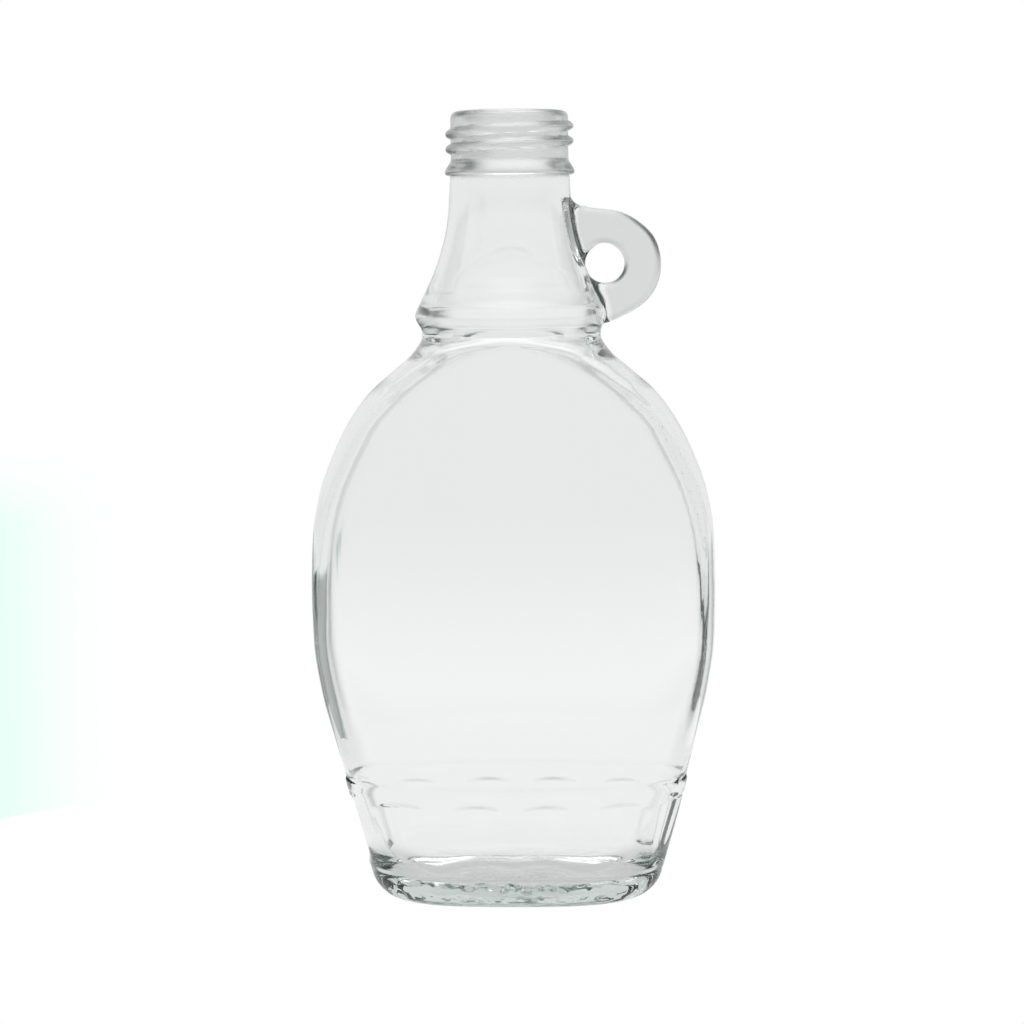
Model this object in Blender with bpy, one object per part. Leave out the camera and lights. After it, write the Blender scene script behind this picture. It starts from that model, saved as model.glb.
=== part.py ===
"""Maple syrup flask: one hollow piece of clear glass with a screw finish, a collar and a finger loop.

Metres, +Z up. The origin is the centre of the foot, on the plane it stands on. The finger loop points
to +X, and the two broad label panels face -Y and +Y.

The outside is a loft through plan outlines: circles in the neck, and in the body wide ellipses cut front
and back by two gently bowed label panels. The thread, the finger loop and the fillet over the loop are
swept shapes that a Boolean joins to it, and the hollow is a second loft that another Boolean takes out.
"""

import math

import bmesh
import bpy
import numpy as np

MM = 0.001

# Whole
HEIGHT = 167.3 * MM
PANEL_BOW = 95.0 * MM  # radius of a label panel's bow, in plan

# Outside of the body and neck: height, half width, depth of the label panel, half depth of the ellipse
OUTSIDE = np.array([
    (0.0, 29.30, 19.60, 22.6),
    (22.4, 35.60, 19.70, 27.0),
    (33.4, 38.45, 20.40, 42.0),
    (45.4, 41.35, 21.30, 58.0),
    (55.4, 42.75, 21.90, 60.0),
    (66.4, 43.00, 22.30, 58.0),
    (77.4, 42.75, 22.45, 51.0),
    (86.4, 41.35, 22.35, 45.0),
    (94.4, 38.60, 21.95, 40.0),
    (102.4, 34.60, 21.20, 36.0),
    (108.4, 30.10, 20.50, 30.8),
    (112.4, 25.50, 20.05, 28.6),
    (116.4, 21.00, 19.75, 25.0),
    (120.0, 19.00, 19.80, 19.0),
    (122.9, 19.35, 26.00, 19.35),
    (126.4, 19.40, 30.00, 19.4),
    (129.4, 18.15, 30.00, 18.15),
    (133.8, 16.15, 30.00, 16.15),
    (138.0, 14.75, 30.00, 14.75),
    (142.4, 13.65, 30.00, 13.65),
    (147.4, 13.00, 30.00, 13.0),
    (153.7, 12.65, 30.00, 12.65),
    (157.2, 12.47, 30.00, 12.47),
    (167.3, 12.47, 30.00, 12.47),
]) * MM

# Inside: the same four columns
INSIDE = np.array([
    (4.0, 27.6, 16.4, 20.4),
    (22.4, 33.4, 16.9, 25.0),
    (33.4, 37.1, 17.7, 40.0),
    (45.4, 40.1, 18.6, 55.0),
    (55.4, 41.5, 19.2, 56.5),
    (66.4, 41.65, 19.6, 53.5),
    (77.4, 41.0, 19.75, 46.5),
    (86.4, 39.2, 19.65, 41.0),
    (94.4, 36.2, 19.25, 36.3),
    (102.4, 32.0, 18.5, 32.7),
    (108.4, 27.2, 17.8, 28.2),
    (112.4, 22.8, 17.35, 25.6),
    (116.4, 18.3, 17.0, 21.0),
    (120.0, 16.2, 17.1, 16.2),
    (122.9, 16.8, 23.0, 16.8),
    (124.8, 17.1, 26.0, 17.1),
    (127.6, 16.3, 30.0, 16.3),
    (131.9, 14.6, 30.0, 14.2),
    (136.4, 13.0, 30.0, 12.5),
    (141.4, 11.75, 30.0, 11.2),
    (150.4, 10.6, 30.0, 10.3),
    (167.3, 9.95, 30.0, 9.95),
]) * MM

# How sharply the ellipse meets the panels, by height: a larger power is a tighter crease
CREASE_HEIGHTS = np.array([0.0, 30.0, 60.0, 80.0, 167.3]) * MM
OUTER_CREASE = np.array([14.0, 15.0, 22.0, 45.0, 45.0])
INNER_CREASE = np.array([12.0, 12.0, 18.0, 32.0, 32.0])

# Foot
HEEL_HEIGHT = 5.0 * MM
HEEL_INSET = 4.0 * MM
BEARING_WIDTH = 2.6 * MM
PUSH_UP = 2.6 * MM
FLOOR_HEIGHT = 4.0 * MM
FLOOR_CROWN = 0.9 * MM
INNER_HEEL_HEIGHT = 8.0 * MM
INNER_HEEL_INSET = 6.5 * MM

# Belt, and the arched flutes that are sunk below it
RELIEF = 0.5 * MM
BELT_TOP = 26.4 * MM
BELT_SLOPE = 1.8 * MM
FLUTE_RAMP = 1.2 * MM
FLUTE_SPRING = 20.4 * MM
FLUTE_CROWN = 22.4 * MM
FLUTE_FOOT = 7.4 * MM
FLUTE_FOOT_RAMP = 1.6 * MM
FLUTE_LEVEL = 14.0 * MM  # places are measured round the wall at this height
GIRTH_STEPS = 2880  # chords that the distance round the wall is summed from
# Places of the flutes, in quarters round from the front centre towards the loop, and their half widths
FLUTE_PLACES = np.array([0.166, 0.521, 0.843, 1.157, 1.479, 1.834, 2.166, 2.534, 3.0, 3.466, 3.834])
FLUTE_HALVES = np.array([6.2, 6.2, 6.0, 6.0, 6.2, 6.2, 6.2, 6.4, 8.5, 6.4, 6.2]) * MM
WIDE_FLUTE = 7.0 * MM  # half width over which a flute is deeper and gets two more columns
FLUTE_DEPTHS = np.where(FLUTE_HALVES > WIDE_FLUTE, 0.95, 0.7) * MM

# Collar ring, and the bead under the thread
COLLAR_HEIGHT = 124.2 * MM
COLLAR_HALF = 2.7 * MM
COLLAR_RELIEF = 1.05 * MM
INNER_COLLAR = 0.75  # share of the ring that the inside follows
BEAD_BOTTOM = 153.7 * MM
BEAD_WIDEST = 154.5 * MM
BEAD_TOP = 157.2 * MM
BEAD_RELIEF = 1.15 * MM

# Screw finish, 28 mm with eight threads to the inch
WALL_RADIUS = 12.47 * MM
THREAD_CREST = 13.6 * MM
THREAD_PITCH = 25.4 / 8 * MM
THREAD_TURNS = 1.9
THREAD_SECTION = 1.05 * MM
THREAD_SUNK = 0.2 * MM  # how deep the ends of the thread lie under the wall
THREAD_START_HEIGHT = 158.6 * MM
THREAD_START_ANGLE = math.radians(100.0)
THREAD_FADE_TURNS = 0.09
THREAD_STEPS_A_TURN = 26
RIM_OUTER_ROUND = 1.5 * MM
RIM_INNER_ROUND = 0.7 * MM
MOUTH_CUT = 2.0 * MM  # how far the hollow's loft runs on above the rim

# Finger loop: a flat ring with rounded edges, and a hollow corner where its top meets the neck
LOOP_X = 20.0 * MM
LOOP_Z = 135.0 * MM
LOOP_HOLE = 4.15 * MM
LOOP_THICKNESS = 4.8 * MM
LOOP_EDGE = 1.5 * MM
LOOP_STEPS = 36
# Its outline: angle about the hole's centre, distance from it in millimetres
LOOP_OUTLINE = np.array([
    (-180.0, 12.9), (-100.0, 12.9), (-88.0, 12.55), (-82.0, 12.24), (-70.0, 11.74), (-59.0, 11.67),
    (-42.0, 11.85), (-18.0, 11.95), (0.0, 11.86), (24.0, 11.80), (53.0, 11.33), (81.0, 11.31),
    (95.0, 11.54), (110.0, 12.55), (125.0, 13.20), (180.0, 12.9),
])
FILLET = 3.4 * MM
FILLET_DEPTH = 6.0 * MM
FILLET_X = 16.0 * MM
FILLET_Z = 150.45 * MM
FILLET_TURN = 168.0, 272.0
FILLET_STEPS = 8
FILLET_THINNING = 0.99  # keeps its flat faces off those of the ring

HOLLOW_COLUMNS = 40
GLASS_COLOUR = (0.80, 0.86, 0.83, 1.0)


def smooth_step(value):
    """0 below 0, 1 above 1, and the cubic 3v^2 - 2v^3 between them."""
    value = np.clip(value, 0.0, 1.0)
    return value * value * (3.0 - 2.0 * value)


def smooth_curve(knots, values, at):
    """A cubic through the knots that never overshoots them (a monotone Hermite curve)."""
    gaps = np.diff(knots)
    slopes = np.diff(values) / gaps
    same_way = slopes[:-1] * slopes[1:] > 0
    total = np.where(same_way, slopes[:-1] + slopes[1:], 1.0)
    tangents = np.zeros_like(values)
    tangents[1:-1] = np.where(same_way, 2.0 * slopes[:-1] * slopes[1:] / total, 0.0)
    tangents[0], tangents[-1] = slopes[0], slopes[-1]
    place = np.clip(np.searchsorted(knots, at, side="right") - 1, 0, len(gaps) - 1)
    gap = gaps[place]
    t = (at - knots[place]) / gap
    return (
        values[place] * (1 + 2 * t) * (1 - t) ** 2
        + gap * tangents[place] * t * (1 - t) ** 2
        + values[place + 1] * t * t * (3 - 2 * t)
        + gap * tangents[place + 1] * t * t * (t - 1)
    )


def section_radius(table, creases, height, angle):
    """Distance from the axis to the wall in plan.

    The nearer of two outlines, blended by a power mean: an ellipse of the table's half width and half
    depth, and a panel that bows back by x^2 / (2 PANEL_BOW) from its depth at the middle.
    """
    half_width, panel, half_depth = (smooth_curve(table[:, 0], table[:, i], height) for i in (1, 2, 3))
    power = np.interp(height, CREASE_HEIGHTS, creases)
    along, across = np.cos(angle), np.abs(np.sin(angle))
    ellipse = 1.0 / np.sqrt((along / half_width) ** 2 + (across / half_depth) ** 2)
    bowed = 2.0 * panel / (across + np.sqrt(across**2 + 2.0 * panel * along**2 / PANEL_BOW))
    return ellipse * (1.0 + (ellipse / bowed) ** power) ** (-1.0 / power)


def girth(angle):
    """(distance round the wall at the flutes from the front centre, whole distance), in metres."""
    fine = np.linspace(-math.pi / 2, 1.5 * math.pi, GIRTH_STEPS + 1)
    radius = section_radius(OUTSIDE, OUTER_CREASE, np.full_like(fine, FLUTE_LEVEL), fine)
    step = np.hypot(np.diff(radius * np.cos(fine)), np.diff(radius * np.sin(fine)))
    run = np.concatenate([[0.0], np.cumsum(step)])
    turned = (angle + math.pi / 2) % (2 * math.pi) - math.pi / 2
    return np.interp(turned, fine, run), run[-1]


def angles_at(share):
    """Angles of the places at these shares of the distance round the wall, from the front centre."""
    fine = np.linspace(-math.pi / 2, 1.5 * math.pi, GIRTH_STEPS + 1)
    run, whole = girth(fine[:-1])
    return np.interp(share, np.append(run, whole) / whole, fine)


def outside_angles():
    """Columns of the outside: across each flute from edge to edge, and the middle of each pillar."""
    whole = girth(0.0)[1]
    places = FLUTE_PLACES / 4
    halves = FLUTE_HALVES / whole
    shares = []
    for place, half in zip(places, halves):
        spread = np.linspace(-half, half, 7 if half * whole > WIDE_FLUTE else 5)
        shares.append(place + spread)
    low, high = places + halves, np.roll(places - halves, -1)
    high[-1] += 1.0
    shares.append((low + high) / 2 % 1.0)
    return angles_at(np.sort(np.concatenate(shares)))


def flute_depth(height, angle):
    """How deep the flutes are hollowed: nothing on the belt, the pillars and the foot.

    Across, a flute is hollowed by (1 - v^2)^1.5 of the distance v from its middle in half widths. Its top is
    a half ellipse, stepped down over FLUTE_RAMP, and its foot fades out over FLUTE_FOOT_RAMP.
    """
    run, whole = girth(angle)
    over_foot = smooth_step((height - FLUTE_FOOT) / FLUTE_FOOT_RAMP)
    deepest = np.zeros(np.broadcast(height, angle).shape)
    for place, half, depth in zip(FLUTE_PLACES, FLUTE_HALVES, FLUTE_DEPTHS):
        across = ((run - place * whole / 4 + whole / 2) % whole - whole / 2) / half
        bowl = np.clip(1.0 - across**2, 0.0, 1.0)
        top = FLUTE_SPRING + (FLUTE_CROWN - FLUTE_SPRING) * np.sqrt(bowl)
        deepest = np.maximum(deepest, depth * bowl**1.5 * smooth_step((top - height) / FLUTE_RAMP))
    return deepest * over_foot


def collar_relief(height):
    """The collar ring's height over the wall: (1 - d^2)^1.5 with the distance d from its middle."""
    from_collar = np.clip(np.abs(height - COLLAR_HEIGHT) / COLLAR_HALF, 0.0, 1.0)
    return COLLAR_RELIEF * (1.0 - from_collar**2) ** 1.5


def relief(height, angle):
    """What stands proud of the smooth wall: belt with pillars, collar ring and bead."""
    below_belt = smooth_step((BELT_TOP - height) / BELT_SLOPE)
    belt = RELIEF * below_belt - flute_depth(height, angle)
    rising = np.clip((height - BEAD_BOTTOM) / (BEAD_WIDEST - BEAD_BOTTOM), 0.0, 1.0)
    falling = np.clip((BEAD_TOP - height) / (BEAD_TOP - BEAD_WIDEST), 0.0, 1.0)
    bead = BEAD_RELIEF * np.sqrt(rising * (2.0 - rising)) * smooth_step(falling)
    return belt + collar_relief(height) + bead


def outer_radius(height, angle):
    height = np.full_like(angle, height)
    return section_radius(OUTSIDE, OUTER_CREASE, height, angle) + relief(height, angle)


def inner_radius(height, angle):
    height = np.full_like(angle, height)
    return section_radius(INSIDE, INNER_CREASE, height, angle) + INNER_COLLAR * collar_relief(height)


def ring(radius, height, angle):
    level = np.broadcast_to(height, angle.shape)
    return np.stack([radius * np.cos(angle), radius * np.sin(angle), level], -1)


def foot_rings(angle):
    """From the middle of the foot out: the domed push-up, then the flat bearing ring."""
    edge = outer_radius(0.0, angle) - HEEL_INSET
    inner = edge - BEARING_WIDTH
    for share in (0.45, 0.82):
        yield ring(inner * share, PUSH_UP * (1.0 - share**2), angle)
    yield ring(inner, 0.0, angle)


def heel_rings(angle):
    """From the bearing ring round the heel to the wall."""
    for turn in np.linspace(0.0, math.pi / 2, 5):
        height = HEEL_HEIGHT * (1.0 - math.cos(turn))
        yield ring(outer_radius(height, angle) - HEEL_INSET * (1.0 - math.sin(turn)), height, angle)


def outer_rings(angle):
    """From the top of the heel to the foot of the rim's rounded edge."""
    levels = np.concatenate([
        [7.4, 9.0, 14.0, 19.1, 20.1, 20.9, 21.7, 22.4, 24.6, 26.4],
        [34.0, 42.0, 50.0, 58.0, 66.4, 77.4, 84.0, 90.0, 95.6, 100.6, 104.8],
        [108.4, 111.2, 113.8, 116.4, 118.4, 120.0, 121.5, 122.6, 123.5, 124.9, 125.8, 126.9],
        [129.4, 132.4, 135.4, 138.6, 142.4, 147.4, 153.65, 153.75, 154.05, 154.6, 155.8, 157.2],
    ]) * MM
    for height in levels:
        yield ring(outer_radius(height, angle), height, angle)


def rim_rings(angle):
    """Round the outer edge of the rim and onto its flat sealing face."""
    for turn in np.linspace(0.0, math.pi / 2, 4):
        radius = WALL_RADIUS - RIM_OUTER_ROUND * (1.0 - math.cos(turn))
        yield ring(np.full_like(angle, radius), HEIGHT - RIM_OUTER_ROUND * (1.0 - math.sin(turn)), angle)


def floor_rings(angle):
    """From the middle of the crowned floor out and round the inner heel."""
    edge = inner_radius(FLOOR_HEIGHT, angle) - INNER_HEEL_INSET
    yield ring(edge * 0.5, FLOOR_HEIGHT + FLOOR_CROWN * 0.75, angle)
    for turn in np.linspace(0.0, math.pi / 2, 5):
        height = FLOOR_HEIGHT + INNER_HEEL_HEIGHT * (1.0 - math.cos(turn))
        yield ring(inner_radius(height, angle) - INNER_HEEL_INSET * (1.0 - math.sin(turn)), height, angle)


def inner_rings(angle):
    """Up the body and the bore to the foot of the mouth's rounded edge."""
    levels = np.array([
        30.0, 44.0, 58.0, 72.0, 84.0, 94.0, 102.4, 108.4, 112.4, 116.4,
        120.0, 122.4, 124.2, 126.0, 128.0, 131.9, 136.4, 141.4, 150.4,
    ]) * MM
    for height in levels:
        yield ring(inner_radius(height, angle), height, angle)


def mouth_rings(angle):
    """Round the inner edge of the rim, and straight up past it."""
    for turn in np.linspace(0.0, math.pi / 2, 3):
        radius = INSIDE[-1, 1] + RIM_INNER_ROUND * (1.0 - math.cos(turn))
        yield ring(np.full_like(angle, radius), HEIGHT - RIM_INNER_ROUND * (1.0 - math.sin(turn)), angle)
    yield ring(np.full_like(angle, INSIDE[-1, 1] + RIM_INNER_ROUND), HEIGHT + MOUTH_CUT, angle)


def loft(name, rings, first_pole, last_pole):
    """A closed mesh through the rings, in order, with a fan to a point at each end."""
    around = rings[0].shape[0]
    rows = len(rings)
    vertices = np.concatenate([*rings, [first_pole], [last_pole]])
    low = np.arange(around)
    high = (low + 1) % around
    lower = (np.arange(rows - 1) * around)[:, None]
    quads = np.stack([lower + low, lower + high, lower + around + high, lower + around + low], -1)
    first, last = rows * around, rows * around + 1
    end = (rows - 1) * around
    faces = quads.reshape(-1, 4).tolist()
    faces += np.stack([high, low, np.full(around, first)], -1).tolist()
    faces += np.stack([end + low, end + high, np.full(around, last)], -1).tolist()
    return solid_mesh(name, vertices, faces)


def solid_mesh(name, vertices, faces):
    """A mesh whose faces all point out of the solid it closes."""
    mesh = bpy.data.meshes.new(name)
    mesh.from_pydata(vertices.tolist(), [], faces)
    work = bmesh.new()
    work.from_mesh(mesh)
    bmesh.ops.recalc_face_normals(work, faces=work.faces)
    work.to_mesh(mesh)
    work.free()
    return mesh


def outside_mesh():
    angle = outside_angles()
    rings = [*foot_rings(angle), *heel_rings(angle), *outer_rings(angle), *rim_rings(angle)]
    return loft("flask", rings, (0.0, 0.0, PUSH_UP), (0.0, 0.0, HEIGHT))


def hollow_mesh():
    angle = angles_at(np.arange(HOLLOW_COLUMNS) / HOLLOW_COLUMNS)
    rings = [*floor_rings(angle), *inner_rings(angle), *mouth_rings(angle)]
    return loft("hollow", rings, (0.0, 0.0, FLOOR_HEIGHT + FLOOR_CROWN), (0.0, 0.0, HEIGHT + MOUTH_CUT))


def thread_mesh():
    """A right-hand helix of round section that sinks into the wall at both ends."""
    curve = bpy.data.curves.new("thread", "CURVE")
    curve.dimensions = "3D"
    curve.bevel_depth = THREAD_SECTION
    curve.bevel_resolution = 2
    curve.use_fill_caps = True
    turns = np.linspace(0.0, THREAD_TURNS, round(THREAD_TURNS * THREAD_STEPS_A_TURN) + 1)
    fade = smooth_step(np.minimum(turns, THREAD_TURNS - turns) / THREAD_FADE_TURNS)
    radius = THREAD_CREST - THREAD_SECTION - (1.0 - fade) * (THREAD_SECTION + THREAD_SUNK)
    angle = THREAD_START_ANGLE + 2 * math.pi * turns
    spline = curve.splines.new("POLY")
    spline.points.add(len(turns) - 1)
    heights = THREAD_START_HEIGHT + THREAD_PITCH * turns
    places = np.stack([radius * np.cos(angle), radius * np.sin(angle), heights, np.ones_like(turns)], -1)
    spline.points.foreach_set("co", places.ravel())
    source = bpy.data.objects.new("thread", curve)
    bpy.context.scene.collection.objects.link(source)
    bpy.context.view_layer.update()
    mesh = bpy.data.meshes.new_from_object(source.evaluated_get(bpy.context.evaluated_depsgraph_get()))
    bpy.data.objects.remove(source)
    work = bmesh.new()
    work.from_mesh(mesh)
    bmesh.ops.remove_doubles(work, verts=work.verts, dist=0.002 * MM)
    bmesh.ops.recalc_face_normals(work, faces=work.faces)
    work.to_mesh(mesh)
    work.free()
    return mesh


def bar_section():
    """A rounded rectangle's section, three points a corner: side signs and unit turns, across and aside."""
    quarter = np.repeat(np.arange(4), 3)
    turn = (quarter + np.tile([0.0, 0.5, 1.0], 4)) * math.pi / 2
    middle = (quarter + 0.5) * math.pi / 2
    return np.sign(np.cos(middle)), np.cos(turn), np.sign(np.sin(middle)), np.sin(turn)


def bar_points(x, z, turn, near, far):
    """Sections of a flat bar bent round (x, z), from the near to the far distance, at each turn."""
    side_x, cos_x, side_y, sin_y = bar_section()
    middle, half = (far + near) / 2, (far - near) / 2
    reach = middle + side_x * (half - LOOP_EDGE) + LOOP_EDGE * cos_x
    aside = side_y * (LOOP_THICKNESS / 2 - LOOP_EDGE) + LOOP_EDGE * sin_y
    across, up = x + reach * np.cos(turn), z + reach * np.sin(turn)
    return np.stack([across, np.broadcast_to(-aside, across.shape), up], -1)


def loop_mesh():
    """The finger loop: a ring about the hole's centre, out to LOOP_OUTLINE."""
    degrees = np.linspace(-180.0, 180.0, LOOP_STEPS + 1)[:-1, None]
    outline = smooth_curve(LOOP_OUTLINE[:, 0], LOOP_OUTLINE[:, 1], degrees) * MM
    points = bar_points(LOOP_X, LOOP_Z, np.radians(degrees), LOOP_HOLE, outline)
    rows, around = points.shape[:2]
    index = np.arange(rows * around).reshape(rows, around)
    onward, beside = np.roll(index, -1, 0), np.roll(index, -1, 1)
    quads = np.stack([index, beside, np.roll(beside, -1, 0), onward], -1)
    return solid_mesh("finger_loop", points.reshape(-1, 3), quads.reshape(-1, 4).tolist())


def fillet_mesh():
    """The hollow corner over the loop: a bar bent round the corner's centre, as thick as the loop."""
    turn = np.radians(np.linspace(*FILLET_TURN, FILLET_STEPS))[:, None]
    points = bar_points(FILLET_X, FILLET_Z, turn, FILLET, FILLET + FILLET_DEPTH)
    points[..., 1] *= FILLET_THINNING
    return loft("loop_fillet", list(points), points[0].mean(0), points[-1].mean(0))


def glass_material():
    material = bpy.data.materials.new("clear_glass")
    material.use_nodes = True
    shader = material.node_tree.nodes["Principled BSDF"]
    shader.inputs["Base Color"].default_value = GLASS_COLOUR
    shader.inputs["Roughness"].default_value = 0.02
    shader.inputs["Metallic"].default_value = 0.0
    shader.inputs["Transmission Weight"].default_value = 1.0
    shader.inputs["IOR"].default_value = 1.52
    material.diffuse_color = GLASS_COLOUR
    return material


def combine(target, mesh, guides, operation):
    """Joins the mesh to the target, or takes it out, and leaves it as a hidden guide."""
    guide = bpy.data.objects.new(mesh.name, mesh)
    guides.objects.link(guide)
    guide.hide_render = True
    guide.display_type = "WIRE"
    step = target.modifiers.new(mesh.name, "BOOLEAN")
    step.operation = operation
    step.solver = "EXACT"
    step.object = guide


def main():
    for old in list(bpy.data.objects):
        bpy.data.objects.remove(old)
    parts = bpy.data.collections.new("maple_syrup_flask")
    guides = bpy.data.collections.new("joined_and_cut_shapes")
    for collection in (parts, guides):
        bpy.context.scene.collection.children.link(collection)

    flask = bpy.data.objects.new("flask", outside_mesh())
    parts.objects.link(flask)
    flask.data.materials.append(glass_material())
    for mesh in (thread_mesh(), loop_mesh(), fillet_mesh()):
        combine(flask, mesh, guides, "UNION")
    combine(flask, hollow_mesh(), guides, "DIFFERENCE")
    flask.data.shade_smooth()
    flask.data.set_sharp_from_angle(angle=math.radians(35.0))


main()
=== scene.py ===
"""An empty clear glass syrup flask on a pale light table, with its glass modelled finely over the CAD solid.

Metres, +Z up, in the frame of the CAD solid: origin at the centre of the foot, finger loop to +X, label
panels facing -Y and +Y.
"""

import math

import bmesh
import bpy
import numpy as np
from mathutils import Matrix


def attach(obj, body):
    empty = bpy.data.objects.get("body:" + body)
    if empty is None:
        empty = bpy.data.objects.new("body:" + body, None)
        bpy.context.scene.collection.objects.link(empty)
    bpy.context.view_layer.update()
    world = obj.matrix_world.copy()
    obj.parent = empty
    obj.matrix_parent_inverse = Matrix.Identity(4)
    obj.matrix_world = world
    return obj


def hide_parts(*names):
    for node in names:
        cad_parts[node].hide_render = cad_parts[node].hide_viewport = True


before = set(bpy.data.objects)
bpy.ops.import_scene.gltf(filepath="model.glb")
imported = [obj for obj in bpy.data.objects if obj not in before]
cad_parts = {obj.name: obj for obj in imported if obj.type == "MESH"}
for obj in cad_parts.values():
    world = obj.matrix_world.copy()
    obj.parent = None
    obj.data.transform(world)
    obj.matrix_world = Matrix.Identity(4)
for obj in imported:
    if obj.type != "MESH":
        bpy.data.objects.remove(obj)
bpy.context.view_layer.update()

MM = 0.001

# ---------------------------------------------------------------- sizes of the glass
HEIGHT = 167.3 * MM
PANEL_BOW = 95.0 * MM  # radius of a label panel's bow, in plan

# Outside of the body and neck: height, half width, depth of the label panel, half depth of the ellipse
OUTSIDE = np.array([
    (0.0, 29.30, 19.60, 22.6),
    (22.4, 35.60, 19.70, 27.0),
    (33.4, 38.45, 20.40, 42.0),
    (45.4, 41.35, 21.30, 58.0),
    (55.4, 42.75, 21.90, 60.0),
    (66.4, 43.00, 22.30, 58.0),
    (77.4, 42.75, 22.45, 51.0),
    (86.4, 41.35, 22.35, 45.0),
    (94.4, 38.60, 21.95, 40.0),
    (102.4, 34.60, 21.20, 36.0),
    (108.4, 30.10, 20.50, 30.8),
    (112.4, 25.50, 20.05, 28.6),
    (116.4, 21.00, 19.75, 25.0),
    (120.0, 19.00, 19.80, 19.0),
    (122.9, 19.35, 26.00, 19.35),
    (126.4, 19.40, 30.00, 19.4),
    (129.4, 18.15, 30.00, 18.15),
    (133.8, 16.15, 30.00, 16.15),
    (138.0, 14.75, 30.00, 14.75),
    (142.4, 13.65, 30.00, 13.65),
    (147.4, 13.00, 30.00, 13.0),
    (153.7, 12.65, 30.00, 12.65),
    (157.2, 12.47, 30.00, 12.47),
    (167.3, 12.47, 30.00, 12.47),
]) * MM

# Inside: the same four columns
INSIDE = np.array([
    (4.0, 27.6, 16.4, 20.4),
    (22.4, 33.4, 16.9, 25.0),
    (33.4, 37.1, 17.7, 40.0),
    (45.4, 40.1, 18.6, 55.0),
    (55.4, 41.5, 19.2, 56.5),
    (66.4, 41.65, 19.6, 53.5),
    (77.4, 41.0, 19.75, 46.5),
    (86.4, 39.2, 19.65, 41.0),
    (94.4, 36.2, 19.25, 36.3),
    (102.4, 32.0, 18.5, 32.7),
    (108.4, 27.2, 17.8, 28.2),
    (112.4, 22.8, 17.35, 25.6),
    (116.4, 18.3, 17.0, 21.0),
    (120.0, 16.2, 17.1, 16.2),
    (122.9, 16.8, 23.0, 16.8),
    (124.8, 17.1, 26.0, 17.1),
    (127.6, 16.3, 30.0, 16.3),
    (131.9, 14.6, 30.0, 14.2),
    (136.4, 13.0, 30.0, 12.5),
    (141.4, 11.75, 30.0, 11.2),
    (150.4, 10.6, 30.0, 10.3),
    (167.3, 9.95, 30.0, 9.95),
]) * MM

# How sharply the ellipse meets the panels, by height: a larger power is a tighter crease
CREASE_HEIGHTS = np.array([0.0, 30.0, 60.0, 80.0, 167.3]) * MM
OUTER_CREASE = np.array([14.0, 15.0, 22.0, 45.0, 45.0])
INNER_CREASE = np.array([12.0, 12.0, 18.0, 32.0, 32.0])

# Foot
HEEL_HEIGHT = 5.0 * MM
HEEL_INSET = 4.0 * MM
BEARING_WIDTH = 2.6 * MM
PUSH_UP = 2.6 * MM
FLOOR_HEIGHT = 4.0 * MM
FLOOR_CROWN = 0.9 * MM
INNER_HEEL_HEIGHT = 8.0 * MM
INNER_HEEL_INSET = 6.5 * MM
STIPPLE_DEPTH = 0.16 * MM
STIPPLE_PITCH = 1.9 * MM

# Belt, and the arched flutes that are sunk below it
RELIEF = 0.5 * MM
BELT_TOP = 26.4 * MM
BELT_SLOPE = 1.8 * MM
FLUTE_RAMP = 1.2 * MM
FLUTE_SPRING = 20.4 * MM
FLUTE_CROWN = 22.4 * MM
FLUTE_FOOT = 7.4 * MM
FLUTE_FOOT_RAMP = 1.6 * MM
FLUTE_LEVEL = 14.0 * MM  # places are measured round the wall at this height
GIRTH_STEPS = 2880  # chords that the distance round the wall is summed from
# Places of the flutes, in quarters round from the front centre towards the loop, and their half widths
FLUTE_PLACES = np.array([0.166, 0.521, 0.843, 1.157, 1.479, 1.834, 2.166, 2.534, 3.0, 3.466, 3.834])
FLUTE_HALVES = np.array([6.2, 6.2, 6.0, 6.0, 6.2, 6.2, 6.2, 6.4, 8.5, 6.4, 6.2]) * MM
WIDE_FLUTE = 7.0 * MM  # half width over which a flute is deeper
FLUTE_DEPTHS = np.where(FLUTE_HALVES > WIDE_FLUTE, 0.95, 0.7) * MM

# Collar ring, and the bead under the thread
COLLAR_HEIGHT = 124.2 * MM
COLLAR_HALF = 2.7 * MM
COLLAR_RELIEF = 1.05 * MM
INNER_COLLAR = 0.75  # share of the ring that the inside follows
BEAD_BOTTOM = 153.7 * MM
BEAD_WIDEST = 154.5 * MM
BEAD_TOP = 157.2 * MM
BEAD_RELIEF = 1.15 * MM

# Screw finish, 28 mm with eight threads to the inch
WALL_RADIUS = 12.47 * MM
THREAD_CREST = 13.6 * MM
THREAD_PITCH = 25.4 / 8 * MM
THREAD_TURNS = 1.9
THREAD_HALF = 1.05 * MM
THREAD_START_HEIGHT = 158.6 * MM
THREAD_START_ANGLE = math.radians(100.0)
THREAD_FADE_TURNS = 0.09
RIM_OUTER_ROUND = 1.5 * MM
RIM_INNER_ROUND = 0.7 * MM
MOUTH_CUT = 2.0 * MM  # how far the hollow's loft runs on above the rim

# Finger loop: a flat ring with rounded edges and a straighter top, and a hollow corner over it at the neck
LOOP_X = 20.0 * MM
LOOP_Z = 135.0 * MM
LOOP_HOLE = 4.15 * MM
LOOP_THICKNESS = 4.8 * MM
LOOP_EDGE = 1.5 * MM
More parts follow.
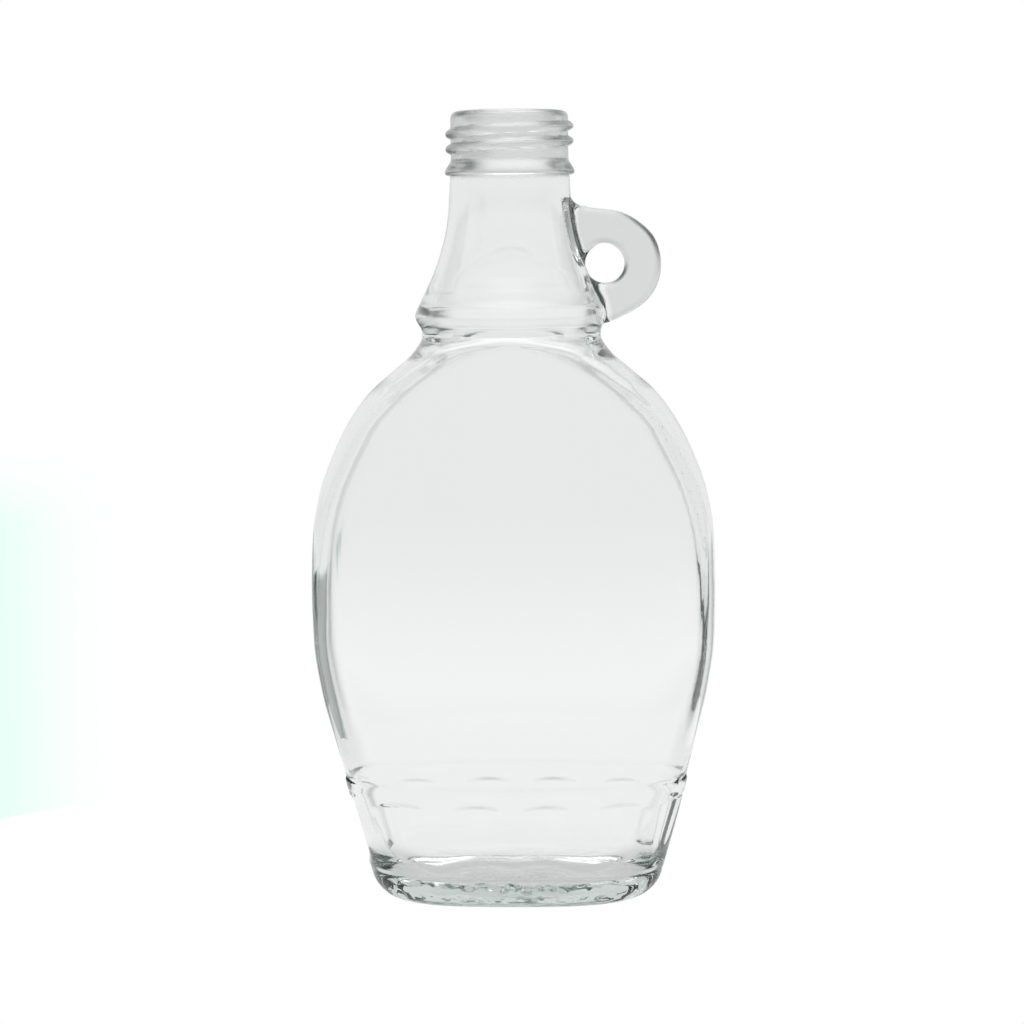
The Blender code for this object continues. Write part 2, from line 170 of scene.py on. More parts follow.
# Its outline: angle about the hole's centre, distance from it in millimetres
LOOP_OUTLINE = np.array([
    (-180.0, 12.9), (-100.0, 12.9), (-88.0, 12.55), (-82.0, 12.24), (-70.0, 11.74), (-59.0, 11.67),
    (-42.0, 11.85), (-18.0, 11.95), (0.0, 11.86), (24.0, 11.80), (53.0, 11.33), (81.0, 11.31),
    (95.0, 11.54), (110.0, 12.55), (125.0, 13.20), (180.0, 12.9),
])
NECK_FILLET = 0.9 * MM  # radius of the hollow edge where a face of the loop meets the neck
FILLET = 3.4 * MM
FILLET_DEPTH = 6.0 * MM
FILLET_X = 16.0 * MM
FILLET_Z = 150.45 * MM
FILLET_TURN = 168.0, 272.0
FILLET_THINNING = 0.997  # keeps its flat faces off those of the ring

# Grid
COLUMNS = 228
LOOP_STEPS = 144
FILLET_STEPS = 32
CORNER_STEP = 12.0  # degrees between the points of a rounded edge
FLAT_SLIDE = 3.0  # degrees beside a flat's middle that its points are spread over
SHARP_ANGLE = 32.0

# ---------------------------------------------------------------- glass
GLASS_CAST = 0.167, 0.333, 0.267, 1.0
GLASS_DENSITY = 12.0
GLASS_BENDING = 1.52
# Painted shade: the loop's base colour is greyed to this
LOOP_PAINTED_SHADE_LEVEL = 0.87
LOOP_ROUGHNESS = 0.32
LOOP_START = 20.9 * MM, 14.0 * MM  # distance from the axis where it starts, at its foot and at its top
LOOP_RISE = 124.0 * MM, 144.0 * MM
LOOP_FOOT = 121.0 * MM, 122.5 * MM
LOOP_MERGE = 1.0 * MM
# Painted shade: the finish's base colour is greyed to this
FINISH_PAINTED_SHADE_LEVEL = 0.94
FINISH_ROUGHNESS = 0.22
FINISH_FOOT = 152.6 * MM, 153.8 * MM
COLLAR_ROUGHNESS = 0.1
COLLAR_START = 119.5 * MM, 121.5 * MM
COLLAR_END = 127.0 * MM, 131.0 * MM
WAVE_HEIGHT = 0.012 * MM  # of the slow waves of a blown wall
WAVE_SCALE = 42.0
GRAIN_HEIGHT = 0.35 * MM  # of the grain round the foot
GRAIN_SCALE = 340.0
GRAIN_REACH = 17.0 * MM, 26.0 * MM  # it fades out towards the foot's rounded ends
GRAIN_START = 1.4 * MM, 3.4 * MM
GRAIN_END = 5.0 * MM, 7.0 * MM

# ---------------------------------------------------------------- camera and light
CAMERA_DISTANCE = 676.0 * MM
CAMERA_HEIGHT = 136.6 * MM
CAMERA_PITCH = 4.6
CAMERA_ROLL = 0.62
CAMERA_TURN = 3.3
CAMERA_SIDE = -0.3 * MM
CAMERA_LENS = 111.6
SENSOR = 36.0
FLOOR_RADIUS = 160.0 * MM
FLOOR_SIDES = 96
FLOOR_DROP = 0.02 * MM
FLOOR_GLOW = 0.915
# Painted shadow: the floor's glow is lowered by this in an oval under the flask
FLOOR_PAINTED_SHADOW = 0.35
FLOOR_PAINTED_SHADOW_RUN = 0.4, 1.5  # of an oval under the foot
WINDOW_LIGHT = 0.877
# Each pair from here on is where a change starts and ends, in degrees up or round unless it says otherwise
WINDOW_LOW, WINDOW_LOW_GAIN = (-4.5, -8.0), 0.10
WINDOW_FOOT, WINDOW_FOOT_LOSS = (-7.6, -9.0), 0.05
WINDOW_HIGH, WINDOW_HIGH_LOSS = (0.3, 2.0), 0.04
WINDOW_TOP, WINDOW_TOP_LOSS = (6.0, 13.0), 0.12
SIDE_LIGHT = 0.85
DARK_LIGHT = 0.08
DARK_CAST = 0.7, 1.0, 0.9
DARK_RIGHT = 14.0, 20.0
DARK_LEFT = -7.0, -11.0
DARK_END = 66.0, 74.0
DARK_TOP = -3.2, -5.0
DARK_BOTTOM = -38.0, -32.0
FRONT_LIGHT = 0.72
FRONT_EDGE = 0.15, -0.15  # in the direction's y
HIGH_LIGHT = 2.0
HIGH_EDGE = 45.0, 65.0


# ---------------------------------------------------------------- curves and fields
def smooth_step(value):
    """0 below 0, 1 above 1, and the cubic 3v^2 - 2v^3 between them."""
    value = np.clip(value, 0.0, 1.0)
    return value * value * (3.0 - 2.0 * value)


def smooth_curve(knots, values, at):
    """A monotone Hermite cubic through the knots: a tangent is the harmonic mean of the slopes beside it."""
    gaps = np.diff(knots)
    slopes = np.diff(values) / gaps
    same_way = slopes[:-1] * slopes[1:] > 0
    total = np.where(same_way, slopes[:-1] + slopes[1:], 1.0)
    tangents = np.zeros_like(values)
    tangents[1:-1] = np.where(same_way, 2.0 * slopes[:-1] * slopes[1:] / total, 0.0)
    tangents[0], tangents[-1] = slopes[0], slopes[-1]
    place = np.clip(np.searchsorted(knots, at, side="right") - 1, 0, len(gaps) - 1)
    gap = gaps[place]
    t = (at - knots[place]) / gap
    return (
        values[place] * (1 + 2 * t) * (1 - t) ** 2
        + gap * tangents[place] * t * (1 - t) ** 2
        + values[place + 1] * t * t * (3 - 2 * t)
        + gap * tangents[place + 1] * t * t * (t - 1)
    )


def section_radius(table, creases, height, angle):
    """Distance from the axis to the wall in plan.

    The nearer of two outlines, blended by a power mean: an ellipse of the table's half width and half
    depth, and a panel that bows back by x^2 / (2 PANEL_BOW) from its depth at the middle.
    """
    half_width, panel, half_depth = (smooth_curve(table[:, 0], table[:, i], height) for i in (1, 2, 3))
    power = np.interp(height, CREASE_HEIGHTS, creases)
    along, across = np.cos(angle), np.abs(np.sin(angle))
    ellipse = 1.0 / np.sqrt((along / half_width) ** 2 + (across / half_depth) ** 2)
    bowed = 2.0 * panel / (across + np.sqrt(across**2 + 2.0 * panel * along**2 / PANEL_BOW))
    return ellipse * (1.0 + (ellipse / bowed) ** power) ** (-1.0 / power)


def girth(angle):
    """(distance round the wall at the flutes from the front centre, whole distance): summed chord lengths."""
    fine = np.linspace(-math.pi / 2, 1.5 * math.pi, GIRTH_STEPS + 1)
    radius = section_radius(OUTSIDE, OUTER_CREASE, np.full_like(fine, FLUTE_LEVEL), fine)
    step = np.hypot(np.diff(radius * np.cos(fine)), np.diff(radius * np.sin(fine)))
    run = np.concatenate([[0.0], np.cumsum(step)])
    turned = (angle + math.pi / 2) % (2 * math.pi) - math.pi / 2
    return np.interp(turned, fine, run), run[-1]


def angles_round(count):
    """Angles of the grid: evenly spaced by distance round the wall, from the front centre."""
    fine = np.linspace(-math.pi / 2, 1.5 * math.pi, GIRTH_STEPS + 1)
    run, whole = girth(fine[:-1])
    run = np.append(run, whole)
    return np.interp(np.arange(count) / count * whole, run, fine)


def flute_depth(height, angle):
    """How deep the flutes are hollowed: nothing on the belt, the pillars and the foot.

    Across, a flute is hollowed by (1 - v^2)^1.5 of the distance v from its middle in half widths. Its top is
    a half ellipse, stepped down over FLUTE_RAMP, and its foot fades out over FLUTE_FOOT_RAMP.
    """
    run, whole = girth(angle)
    over_foot = smooth_step((height - FLUTE_FOOT) / FLUTE_FOOT_RAMP)
    deepest = np.zeros(np.broadcast(height, angle).shape)
    for place, half, depth in zip(FLUTE_PLACES, FLUTE_HALVES, FLUTE_DEPTHS):
        across = ((run - place * whole / 4 + whole / 2) % whole - whole / 2) / half
        bowl = np.clip(1.0 - across**2, 0.0, 1.0)
        top = FLUTE_SPRING + (FLUTE_CROWN - FLUTE_SPRING) * np.sqrt(bowl)
        deepest = np.maximum(deepest, depth * bowl**1.5 * smooth_step((top - height) / FLUTE_RAMP))
    return deepest * over_foot


def thread_relief(height, angle):
    """The right-hand thread: a rounded ridge about the helix height = start + pitch * turns.

    The ridge's height falls off as (1 - d^2)^0.75 with the distance d from the helix in half widths,
    and fades out over THREAD_FADE_TURNS at each end. Each turn that passes a point is tried.
    """
    ridge = np.zeros(np.broadcast(height, angle).shape)
    first = ((angle - THREAD_START_ANGLE) / (2 * math.pi)) % 1.0
    for lap in range(math.ceil(THREAD_TURNS)):
        turns = first + lap
        off_helix = np.abs(height - THREAD_START_HEIGHT - THREAD_PITCH * turns)
        distance = np.clip(off_helix / THREAD_HALF, 0.0, 1.0)
        fade = smooth_step(np.minimum(turns, THREAD_TURNS - turns) / THREAD_FADE_TURNS)
        ridge = np.maximum(ridge, (1.0 - distance**2) ** 0.75 * fade)
    return (THREAD_CREST - WALL_RADIUS) * ridge


def collar_relief(height):
    """The collar ring's height over the wall: (1 - d^2)^1.5 with the distance d from its middle."""
    from_collar = np.clip(np.abs(height - COLLAR_HEIGHT) / COLLAR_HALF, 0.0, 1.0)
    return COLLAR_RELIEF * (1.0 - from_collar**2) ** 1.5


def relief(height, angle):
    """What stands proud of the smooth wall: belt with pillars, collar ring, bead and thread."""
    below_belt = smooth_step((BELT_TOP - height) / BELT_SLOPE)
    belt = RELIEF * below_belt - flute_depth(height, angle)
    rising = np.clip((height - BEAD_BOTTOM) / (BEAD_WIDEST - BEAD_BOTTOM), 0.0, 1.0)
    falling = np.clip((BEAD_TOP - height) / (BEAD_TOP - BEAD_WIDEST), 0.0, 1.0)
    bead = BEAD_RELIEF * np.sqrt(rising * (2.0 - rising)) * smooth_step(falling)
    return belt + collar_relief(height) + bead + thread_relief(height, angle)


def outer_radius(height, angle):
    """The outside wall's distance from the axis: its outline in plan plus what stands proud of it."""
    return section_radius(OUTSIDE, OUTER_CREASE, height, angle) + relief(height, angle)


def inner_radius(height, angle):
    """The inside wall's distance from the axis: its outline in plan plus a share of the collar ring."""
    return section_radius(INSIDE, INNER_CREASE, height, angle) + INNER_COLLAR * collar_relief(height)


# ---------------------------------------------------------------- grids
def levels(*spans):
    """Heights in metres, evenly spaced along each (first, last, spacing) in millimetres."""
    runs = [np.linspace(low, high, max(round((high - low) / gap), 1) + 1)[:-1] for low, high, gap in spans]
    return np.append(np.concatenate(runs), spans[-1][1]) * MM


def grid_points(radius, height):
    """Points of a grid of rings: (radius cos a, radius sin a, height)."""
    return radius[..., None] * ROUND + height[..., None] * np.array([0.0, 0.0, 1.0])


def rings_up(radius_of, heights):
    """Rings at the heights, each at radius_of(height, angle)."""
    height = np.broadcast_to(heights[:, None], (len(heights), len(ANGLES)))
    return grid_points(radius_of(height, ANGLES), height)


def outside_rings():
    """The outside as one grid: push-up, bearing ring, heel, wall, and the rim's outer rounding.

    The push-up is PUSH_UP (1 - s^2) high at the share s of its radius. The bearing ring is stippled by
    waves of STIPPLE_DEPTH round it, faded out at both edges. The heel is a quarter ellipse, and the rim a
    quarter circle.
    """
    zero = np.zeros((1, len(ANGLES)))
    edge = outer_radius(zero, ANGLES) - HEEL_INSET
    inner = edge - BEARING_WIDTH
    share = np.linspace(0.05, 0.98, 18)[:, None]
    dome = grid_points(inner * share, PUSH_UP * (1.0 - share**2) + 0.0 * inner)
    width = np.linspace(0.0, 1.0, 9)[:, None]
    stipple = STIPPLE_DEPTH * np.sin(math.pi * width) ** 0.5 * (0.5 - 0.5 * np.cos(STIPPLE_WAVES))
    bearing = grid_points(inner + BEARING_WIDTH * width, stipple)
    turn = np.linspace(0.0, math.pi / 2, 15)[1:, None]
    height = HEEL_HEIGHT * (1.0 - np.cos(turn)) + zero
    heel = grid_points(outer_radius(height, ANGLES) - HEEL_INSET * (1.0 - np.sin(turn)), height)
    wall = rings_up(outer_radius, levels(
        (5.25, 8.0, 0.35), (8.0, 18.0, 2.0), (18.0, 22.6, 0.18), (22.6, 25.2, 0.8), (25.2, 27.2, 0.2),
        (27.2, 105.0, 2.4), (105.0, 127.0, 0.55), (127.0, 153.2, 1.2), (153.2, 154.4, 0.12),
        (154.4, 165.3, 0.19),
    ))
    turn = np.linspace(0.0, math.pi / 2, 9)[:, None]
    radius = outer_radius(zero + (HEIGHT - RIM_OUTER_ROUND * (1.0 - np.sin(turn))), ANGLES)
    rim = grid_points(
        radius - RIM_OUTER_ROUND * (1.0 - np.cos(turn)),
        HEIGHT - RIM_OUTER_ROUND * (1.0 - np.sin(turn)) + zero,
    )
    return np.concatenate([dome, bearing, heel, wall, rim])


def hollow_rings():
    """The hollow as one grid: crowned floor, inner heel, body, bore, and the rim's inner rounding.

    The floor is crowned by FLOOR_CROWN (1 - s^2) at the share s of its radius. The heel is a quarter
    ellipse, the rim a quarter circle, and the last ring lies straight above the rim's.
    """
    zero = np.zeros((1, len(ANGLES)))
    edge = inner_radius(zero + FLOOR_HEIGHT, ANGLES) - INNER_HEEL_INSET
    share = np.linspace(0.05, 0.95, 14)[:, None]
    floor = grid_points(edge * share, FLOOR_HEIGHT + FLOOR_CROWN * (1.0 - share**2) + zero)
    turn = np.linspace(0.0, math.pi / 2, 14)[:, None]
    height = FLOOR_HEIGHT + INNER_HEEL_HEIGHT * (1.0 - np.cos(turn)) + zero
    heel = grid_points(inner_radius(height, ANGLES) - INNER_HEEL_INSET * (1.0 - np.sin(turn)), height)
    wall = rings_up(inner_radius, levels((14.0, 100.0, 2.6), (100.0, 145.0, 1.0), (145.0, 165.8, 2.2)))
    turn = np.linspace(0.0, math.pi / 2, 6)[:, None]
    bore = INSIDE[-1, 1]
    mouth = grid_points(
        bore + RIM_INNER_ROUND * (1.0 - np.cos(turn)) + zero,
        HEIGHT - RIM_INNER_ROUND * (1.0 - np.sin(turn)) + zero,
    )
    past = grid_points(bore + RIM_INNER_ROUND + zero, HEIGHT + MOUTH_CUT + zero)
    return np.concatenate([floor, heel, wall, mouth, past])


def closed_grid(name, rings, first_pole, last_pole):
    """A closed mesh through a grid of rings, in order, with a fan to a point at each end."""
    rows, around = rings.shape[:2]
    vertices = np.concatenate([rings.reshape(-1, 3), [first_pole], [last_pole]])
    low = np.arange(around)
    high = (low + 1) % around
    base = (np.arange(rows - 1) * around)[:, None]
    quads = np.stack([base + low, base + high, base + around + high, base + around + low], -1)
    first, last = rows * around, rows * around + 1
    end = (rows - 1) * around
    faces = quads.reshape(-1, 4).tolist()
    faces += np.stack([high, low, np.full(around, first)], -1).tolist()
    faces += np.stack([end + low, end + high, np.full(around, last)], -1).tolist()
    mesh = bpy.data.meshes.new(name)
    mesh.from_pydata(vertices.tolist(), [], faces)
    return mesh


def section_turns(points_across, points_aside):
    """A rounded rectangle's section: side signs and unit turns, with extra points along its flats.

    Over FLAT_SLIDE degrees beside each flat's middle the sign slides from one side to the other.
    """
    corner = np.arange(FLAT_SLIDE, 90.0 - FLAT_SLIDE / 2, CORNER_STEP)
    quarters = []
    for quarter, points in enumerate((points_aside, points_across) * 2):
        flat = np.linspace(-FLAT_SLIDE, FLAT_SLIDE, points + 2)[1:-1]
        quarters.append(quarter * 90.0 + np.concatenate([flat, corner]))
    turn = np.radians(np.concatenate(quarters))
    across, aside = np.cos(turn), np.sin(turn)
    limit = math.sin(math.radians(FLAT_SLIDE))
    return np.clip(across / limit, -1, 1), across, np.clip(aside / limit, -1, 1), aside


def neck_blend(x, y, z):
    """Thickens the loop toward the neck by a quarter circle of NECK_FILLET, tangent to both."""
    wall = section_radius(OUTSIDE, OUTER_CREASE, z, np.zeros_like(z))
    wall = np.sqrt(wall**2 - (LOOP_THICKNESS / 2) ** 2)
    near = np.clip(1.0 - (x - wall) / NECK_FILLET, 0.0, 1.0)
    return y * (1.0 + (1.0 - np.sqrt(1.0 - near**2)) * NECK_FILLET / (LOOP_THICKNESS / 2))


def loop_mesh():
    """The finger loop as a ring about the hole's centre.

    At each angle its section is a rounded rectangle from the hole's radius out to the outline's.
    """
    degrees = np.linspace(-180.0, 180.0, LOOP_STEPS + 1)[:-1, None]
    turn = np.radians(degrees)
    outline = smooth_curve(LOOP_OUTLINE[:, 0], LOOP_OUTLINE[:, 1], degrees) * MM
    side_x, cos_x, side_y, sin_y = section_turns(26, 5)
    middle, half = (outline + LOOP_HOLE) / 2, (outline - LOOP_HOLE) / 2
    reach = middle + side_x * (half - LOOP_EDGE) + LOOP_EDGE * cos_x
    x, z = LOOP_X + reach * np.cos(turn), LOOP_Z + reach * np.sin(turn)
    y = -side_y * (LOOP_THICKNESS / 2 - LOOP_EDGE) - LOOP_EDGE * sin_y
    points = np.stack([x, neck_blend(x, y, z), z], -1)
    rows, around = reach.shape
    index = np.arange(rows * around).reshape(rows, around)
    onward, beside = np.roll(index, -1, 0), np.roll(index, -1, 1)
    quads = np.stack([index, beside, np.roll(beside, -1, 0), onward], -1).reshape(-1, 4)
    mesh = bpy.data.meshes.new("finger_loop")
    mesh.from_pydata(points.reshape(-1, 3).tolist(), [], quads.tolist())
    return mesh


def fillet_mesh():
    """The hollow corner between the loop's top and the neck: a bar bent round the corner's centre.

    Its section is a rounded rectangle as thick as the loop, whose near side is FILLET from the centre.
    """
    turn = np.radians(np.linspace(*FILLET_TURN, FILLET_STEPS + 1))[:, None]
    side_x, cos_x, side_y, sin_y = section_turns(24, 5)
    reach = FILLET + FILLET_DEPTH / 2 + side_x * (FILLET_DEPTH / 2 - LOOP_EDGE) + LOOP_EDGE * cos_x
    x, z = FILLET_X + reach * np.cos(turn), FILLET_Z + reach * np.sin(turn)
    y = (-side_y * (LOOP_THICKNESS / 2 - LOOP_EDGE) - LOOP_EDGE * sin_y) * FILLET_THINNING
    points = np.stack([x, neck_blend(x, y, z), z], -1)
    return closed_grid("loop_fillet", points, points[0].mean(0), points[-1].mean(0))


def outward(mesh):
    """Recalculates a closed mesh's normals, so that its faces point out."""
    work = bmesh.new()
    work.from_mesh(mesh)
    bmesh.ops.recalc_face_normals(work, faces=work.faces)
    work.to_mesh(mesh)
    work.free()


def combined(steps):
    """One mesh from (mesh, operation) steps, by Booleans on a passing object that is removed again."""
    base = bpy.data.objects.new("glass_work", steps[0][0])
    bpy.context.scene.collection.objects.link(base)
    helpers = []
    for mesh, operation in steps[1:]:
        helper = bpy.data.objects.new(mesh.name, mesh)
        bpy.context.scene.collection.objects.link(helper)
        step = base.modifiers.new(mesh.name, "BOOLEAN")
        step.operation, step.solver, step.object = operation, "MANIFOLD", helper
        helpers.append(helper)
    bpy.context.view_layer.update()
    graph = bpy.context.evaluated_depsgraph_get()
    made = bpy.data.meshes.new_from_object(base.evaluated_get(graph))
    for helper in (base, *helpers):
        bpy.data.objects.remove(helper)
    return made


# ---------------------------------------------------------------- shader expressions
class Sock:
    """A node socket whose arithmetic adds Math nodes."""

    def __init__(self, tree, socket):
        self.tree, self.socket = tree, socket

    def _math(self, operation, *values):
        return node(self.tree, "ShaderNodeMath", {"operation": operation}, *values)

    def __add__(self, other):
        return self._math("ADD", self, other)

    def __sub__(self, other):
        return self._math("SUBTRACT", self, other)

    def __rsub__(self, other):
        return self._math("SUBTRACT", other, self)

    def __mul__(self, other):
        return self._math("MULTIPLY", self, other)

    __radd__ = __add__
    __rmul__ = __mul__


def node(tree, kind, settings=None, *values, **named):
    """Adds a node, sets its settings, then its sockets by order or by name; returns its first output."""
    made = tree.nodes.new(kind)
    for key, value in (settings or {}).items():
        setattr(made, key, value)
    for index, value in [*enumerate(values), *named.items()]:
        socket = made.inputs[index.replace("_", " ") if isinstance(index, str) else index]
        if isinstance(value, Sock):
            tree.links.new(value.socket, socket)
        else:
            socket.default_value = value
    return Sock(tree, next((out for out in made.outputs if out.enabled), None))


def glass_material():
    """Clear soda-lime glass with a faint green cast, slightly wavy, with a coarse grain in the foot.

    The finger loop, the screw finish and the collar ring are pressed, not blown: there the surface is a
    little rougher. On the loop and the finish the base colour is also greyed, a painted shade. The loop is
    where the distance from the axis is past a limit that follows the neck.
    """
    material = bpy.data.materials.new("clear_glass")
    material.use_nodes = True
    tree = material.node_tree
    tree.nodes.clear()
    place = Sock(tree, node(tree, "ShaderNodeTexCoord").socket.node.outputs["Object"])
    split = node(tree, "ShaderNodeSeparateXYZ", None, place).socket.node
    x, y, z = (Sock(tree, split.outputs[i]) for i in range(3))
    from_axis = node(tree, "ShaderNodeMath", {"operation": "SQRT"}, x * x + y * y)
    low, high = LOOP_START
    limit = low - ramp(tree, z, *LOOP_RISE) * (low - high)
    on_loop = ramp(tree, from_axis - limit, 0.0, LOOP_MERGE) * ramp(tree, z, *LOOP_FOOT)
    on_finish = ramp(tree, z, *FINISH_FOOT)
    on_collar = ramp(tree, z, *COLLAR_START) * (1.0 - ramp(tree, z, *COLLAR_END)) * (1.0 - on_loop)
    # Painted shade: the base colour is greyed on the loop and on the finish
    clear = 1.0 - on_loop * (1.0 - LOOP_PAINTED_SHADE_LEVEL) - on_finish * (1.0 - FINISH_PAINTED_SHADE_LEVEL)
    tint = node(tree, "ShaderNodeCombineColor", None, clear, clear, clear)
    wave = node(tree, "ShaderNodeTexNoise", None, Vector=place, Scale=WAVE_SCALE, Detail=1.0, Roughness=0.4)
    grain = node(tree, "ShaderNodeTexNoise", None, Vector=place, Scale=GRAIN_SCALE, Detail=1.0)
    from_middle = node(tree, "ShaderNodeMath", {"operation": "ABSOLUTE"}, x)
    on_foot = ramp(tree, z, *GRAIN_START) * (1.0 - ramp(tree, z, *GRAIN_END))
    on_foot = on_foot * (1.0 - ramp(tree, from_middle, *GRAIN_REACH))
    height = wave * (WAVE_HEIGHT / MM) + on_foot * grain * (GRAIN_HEIGHT / MM)
    bump = node(tree, "ShaderNodeBump", None, Height=height, Strength=1.0, Distance=MM)
    shader = tree.nodes.new("ShaderNodeBsdfPrincipled")
    tree.links.new(tint.socket, shader.inputs["Base Color"])
    rough = on_loop * LOOP_ROUGHNESS + on_finish * FINISH_ROUGHNESS + on_collar * COLLAR_ROUGHNESS
    tree.links.new(rough.socket, shader.inputs["Roughness"])
    shader.inputs["IOR"].default_value = GLASS_BENDING
    shader.inputs["Transmission Weight"].default_value = 1.0
    tree.links.new(bump.socket, shader.inputs["Normal"])
    absorb = tree.nodes.new("ShaderNodeVolumeAbsorption")
    absorb.inputs["Color"].default_value = GLASS_CAST
    absorb.inputs["Density"].default_value = GLASS_DENSITY
    out = tree.nodes.new("ShaderNodeOutputMaterial")
    tree.links.new(shader.outputs[0], out.inputs["Surface"])
    tree.links.new(absorb.outputs[0], out.inputs["Volume"])
    return material


# ---------------------------------------------------------------- pieces
def glass_flask():
    """The whole flask: outside with the loop and its web joined on, and the hollow taken out."""
    outside = closed_grid("outside", outside_rings(), (0.0, 0.0, PUSH_UP), (0.0, 0.0, HEIGHT))
    hollow = closed_grid(
        "hollow", hollow_rings(), (0.0, 0.0, FLOOR_HEIGHT + FLOOR_CROWN), (0.0, 0.0, HEIGHT + MOUTH_CUT)
    )
    loop, fillet = loop_mesh(), fillet_mesh()
    for mesh in (loop, fillet):
        outward(mesh)
    mesh = combined([(outside, ""), (loop, "UNION"), (fillet, "UNION"), (hollow, "DIFFERENCE")])
    mesh.name = "flask_glass"
    mesh.materials.clear()
    mesh.materials.append(glass_material())
    mesh.shade_smooth()
    mesh.set_sharp_from_angle(angle=math.radians(SHARP_ANGLE))
    piece = bpy.data.objects.new("flask_glass", mesh)
    bpy.context.scene.collection.objects.link(piece)
    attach(piece, "root")
    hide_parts("flask")


def camera():
    """The eye just below the finish, looking slightly down, and leaning a little to one side."""
    data = bpy.data.cameras.new("camera")
    data.lens, data.sensor_width = CAMERA_LENS, SENSOR
    data.clip_start, data.clip_end = 0.02, 20.0
    eye = bpy.data.objects.new("camera", data)
    bpy.context.scene.collection.objects.link(eye)
    turn = math.radians(CAMERA_TURN)
    eye.location = (
        CAMERA_DISTANCE * math.sin(turn) + CAMERA_SIDE * math.cos(turn),
        -CAMERA_DISTANCE * math.cos(turn) + CAMERA_SIDE * math.sin(turn),
        CAMERA_HEIGHT,
    )
    aim = Matrix.Rotation(turn, 4, "Z") @ Matrix.Rotation(math.radians(90.0 - CAMERA_PITCH), 4, "X")
    eye.rotation_euler = (aim @ Matrix.Rotation(math.radians(-CAMERA_ROLL), 4, "Z")).to_euler()
    bpy.context.scene.camera = eye


def white_for_the_eye(tree, seen):
    """A seen brightness, raised to at least 1 for rays that come straight from the camera."""
    straight = Sock(tree, node(tree, "ShaderNodeLightPath").socket.node.outputs["Is Camera Ray"])
    return node(tree, "ShaderNodeMath", {"operation": "MAXIMUM"}, straight, seen)


def light_table():
    """A pale floor that gives its own light, with a painted shadow: less of it in an oval under the flask.

    The oval's distance is 1 on the widest outline of the flask.
    """
    material = bpy.data.materials.new("light_table")
    material.use_nodes = True
    tree = material.node_tree
    tree.nodes.clear()
    place = Sock(tree, node(tree, "ShaderNodeTexCoord").socket.node.outputs["Object"])
    split = node(tree, "ShaderNodeSeparateXYZ", None, place).socket.node
    x, y = (Sock(tree, split.outputs[i]) for i in range(2))
    across, along = x * (1.0 / OUTSIDE[:, 1].max()), y * (1.0 / OUTSIDE[0, 3])
    oval = node(tree, "ShaderNodeMath", {"operation": "SQRT"}, across * across + along * along)
    # Painted shadow: the floor glows less in the oval under the flask
    painted_shadow = 1.0 - ramp(tree, oval, *FLOOR_PAINTED_SHADOW_RUN)
    glow = tree.nodes.new("ShaderNodeEmission")
    level = FLOOR_GLOW - painted_shadow * FLOOR_PAINTED_SHADOW
    tree.links.new(white_for_the_eye(tree, level).socket, glow.inputs["Strength"])
    out = tree.nodes.new("ShaderNodeOutputMaterial")
    tree.links.new(glow.outputs[0], out.inputs["Surface"])
    turn = np.linspace(0.0, 2 * math.pi, FLOOR_SIDES + 1)[:-1]
    rim = np.stack([FLOOR_RADIUS * np.cos(turn), FLOOR_RADIUS * np.sin(turn), 0.0 * turn - FLOOR_DROP], -1)
    mesh = bpy.data.meshes.new("floor")
    mesh.from_pydata(rim.tolist(), [], [list(range(len(turn)))])
    mesh.materials.append(material)
    floor = bpy.data.objects.new("floor", mesh)
    bpy.context.scene.collection.objects.link(floor)


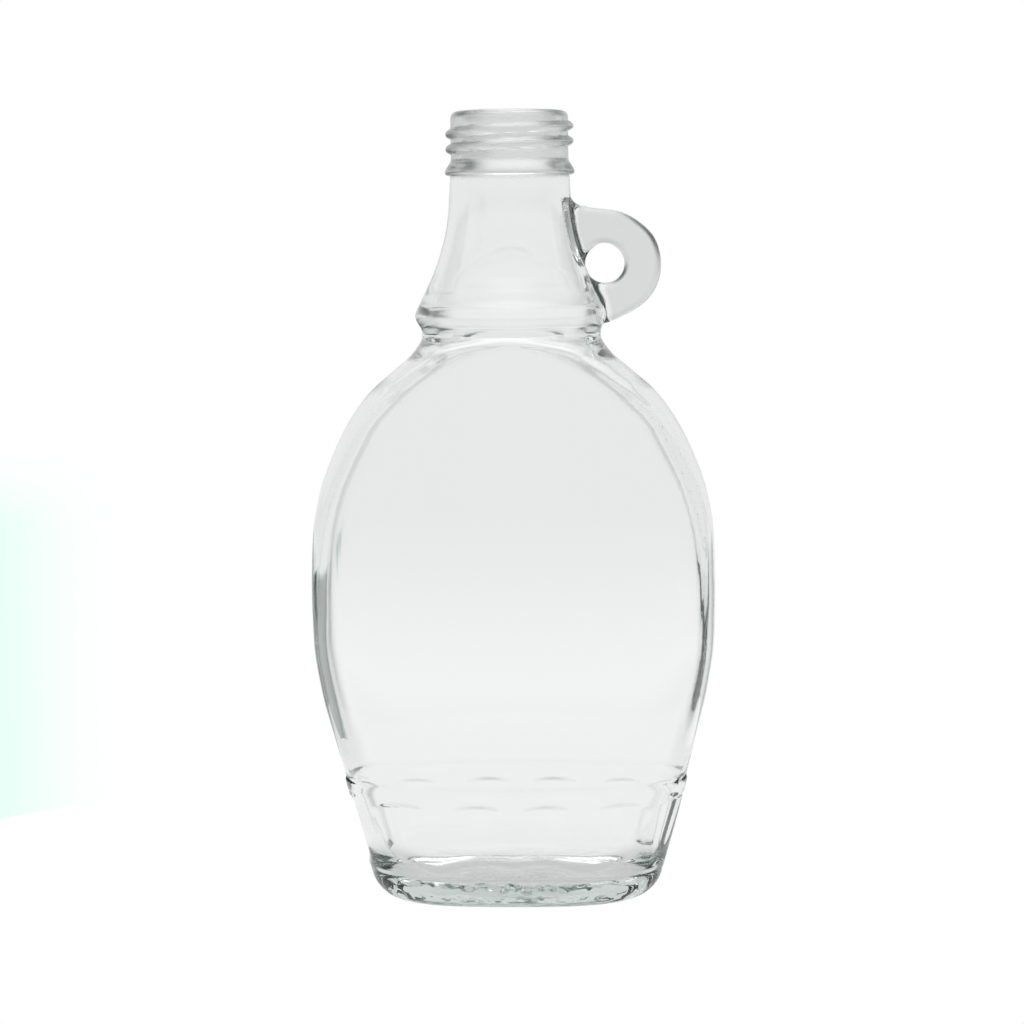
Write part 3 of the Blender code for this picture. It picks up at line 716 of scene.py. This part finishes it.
def room():
    """Soft white light from all round, with dark corners beside the window that stands behind the flask.

    Behind (+Y) the light is WINDOW_LIGHT near the middle, a little more just under the horizon and less
    over it, and SIDE_LIGHT beside it. From DARK_LEFT and DARK_RIGHT out to DARK_END it falls to DARK_LIGHT
    with the colour DARK_CAST, in a band under the horizon. The half in front is an even FRONT_LIGHT, and
    the ceiling is brighter by HIGH_LIGHT. Rays straight from the camera see no dark in the corners, but
    they do see their colour.
    """
    world = bpy.data.worlds.new("room")
    bpy.context.scene.world = world
    world.use_nodes = True
    tree = world.node_tree
    tree.nodes.clear()
    coordinates = tree.nodes.new("ShaderNodeTexCoord")
    split = tree.nodes.new("ShaderNodeSeparateXYZ")
    tree.links.new(coordinates.outputs["Generated"], split.inputs[0])
    x, y, z = (Sock(tree, split.outputs[i]) for i in range(3))
    heading = node(tree, "ShaderNodeMath", {"operation": "ARCTAN2"}, x, y)
    heading = heading * math.degrees(1.0) + CAMERA_TURN
    off_middle = node(tree, "ShaderNodeMath", {"operation": "ABSOLUTE"}, heading)
    tilt = node(tree, "ShaderNodeMath", {"operation": "ARCSINE"}, z) * math.degrees(1.0)
    aside = ramp(tree, heading, *DARK_RIGHT) + ramp(tree, heading, *DARK_LEFT)
    window = WINDOW_LIGHT + ramp(tree, tilt, *WINDOW_LOW) * WINDOW_LOW_GAIN
    window = window - ramp(tree, tilt, *WINDOW_FOOT) * WINDOW_FOOT_LOSS
    window = window - ramp(tree, tilt, *WINDOW_HIGH) * WINDOW_HIGH_LOSS
    window = window - ramp(tree, tilt, *WINDOW_TOP) * WINDOW_TOP_LOSS
    level = window + aside * (SIDE_LIGHT - window)
    corner = aside * (1.0 - ramp(tree, off_middle, *DARK_END))
    corner = corner * ramp(tree, tilt, *DARK_TOP) * ramp(tree, tilt, *DARK_BOTTOM)
    level = level + corner * (DARK_LIGHT - level)
    level = level + ramp(tree, y, *FRONT_EDGE) * (FRONT_LIGHT - level)
    level = level + ramp(tree, tilt, *HIGH_EDGE) * HIGH_LIGHT
    tint = node(tree, "ShaderNodeCombineColor", None, *(1.0 - corner * (1.0 - share) for share in DARK_CAST))
    background = tree.nodes.new("ShaderNodeBackground")
    tree.links.new(tint.socket, background.inputs["Color"])
    tree.links.new(white_for_the_eye(tree, level).socket, background.inputs["Strength"])
    out = tree.nodes.new("ShaderNodeOutputWorld")
    tree.links.new(background.outputs[0], out.inputs["Surface"])


def ramp(tree, value, start, end):
    """A smooth step from 0 at start to 1 at end."""
    made = tree.nodes.new("ShaderNodeMapRange")
    made.interpolation_type = "SMOOTHSTEP"
    made.inputs["From Min"].default_value, made.inputs["From Max"].default_value = start, end
    tree.links.new(value.socket, made.inputs["Value"])
    return Sock(tree, made.outputs["Result"])


ANGLES = angles_round(COLUMNS)
ROUND = np.stack([np.cos(ANGLES), np.sin(ANGLES), np.zeros_like(ANGLES)], -1)
run_round, whole_round = girth(ANGLES)
STIPPLE_WAVES = 2 * math.pi * np.round(whole_round / STIPPLE_PITCH) * run_round / whole_round

glass_flask()
camera()
light_table()
room()
bpy.context.scene.view_settings.view_transform = "Standard"
bpy.context.scene.cycles.max_bounces = 32
bpy.context.scene.cycles.transmission_bounces = 32
bpy.context.scene.cycles.glossy_bounces = 16
